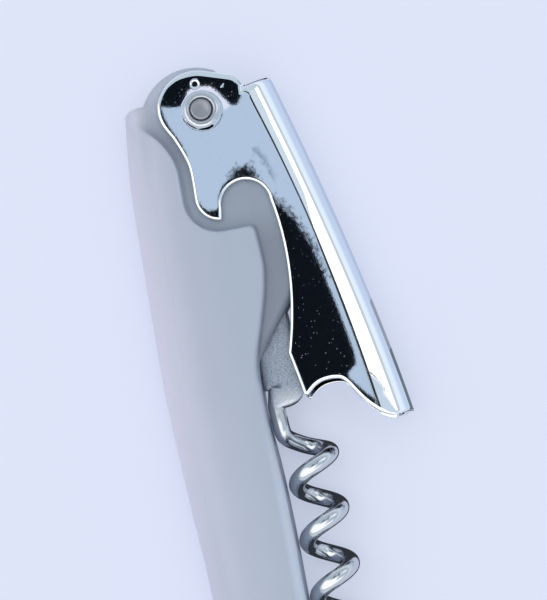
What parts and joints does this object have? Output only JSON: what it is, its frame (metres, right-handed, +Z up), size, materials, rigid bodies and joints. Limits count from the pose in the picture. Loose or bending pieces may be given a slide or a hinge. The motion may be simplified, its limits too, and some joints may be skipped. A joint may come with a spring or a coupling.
{
  "type": "single-lever corkscrew",
  "caption": "Folding corkscrew: moulded handle, hinged channel lever with cap hook and notched boot, and a steel worm that swings out of a slot.",
  "frame": {"origin": "middle of the bounding box's bottom, on the surface the closed tool lies on", "axes": "+X along the handle from the lever's rivet to the tail, +Y from the handle's back to the lever, +Z up through the thickness"},
  "size_m": [0.1156, 0.0412, 0.0124],
  "materials": {
    "handle_plastic": "milky white moulded plastic, satin",
    "lever_chrome": "bright plated sheet with fine scratches",
    "worm_chrome": "bright plated wire with a grainy forged tang",
    "rivet_steel": "satin",
    "pin_steel": "satin"
  },
  "bodies": {
    "handle": {"handle": "handle_plastic", "lever_rivet": "rivet_steel", "rivet_collar_front": "rivet_steel", "rivet_collar_back": "rivet_steel", "worm_pin": "pin_steel"},
    "lever": {"lever": "lever_chrome"},
    "worm": {"worm": "worm_chrome"}
  },
  "joints": [
    {"name": "lever_hinge", "type": "hinge", "parent": "handle", "child": "lever", "pos_m": [-0.05025, -0.00536, 0.0062], "axis": [0, 0, 1], "range_deg": [0, 140]},
    {"name": "worm_hinge", "type": "hinge", "parent": "handle", "child": "worm", "pos_m": [-0.01875, -0.00196, 0.0062], "axis": [0, 0, 1], "range_deg": [0, 105]}
  ],
  "couplings": [
    {"joint": "worm_hinge", "follows": "lever_hinge", "ratio": 0.75}
  ]
}
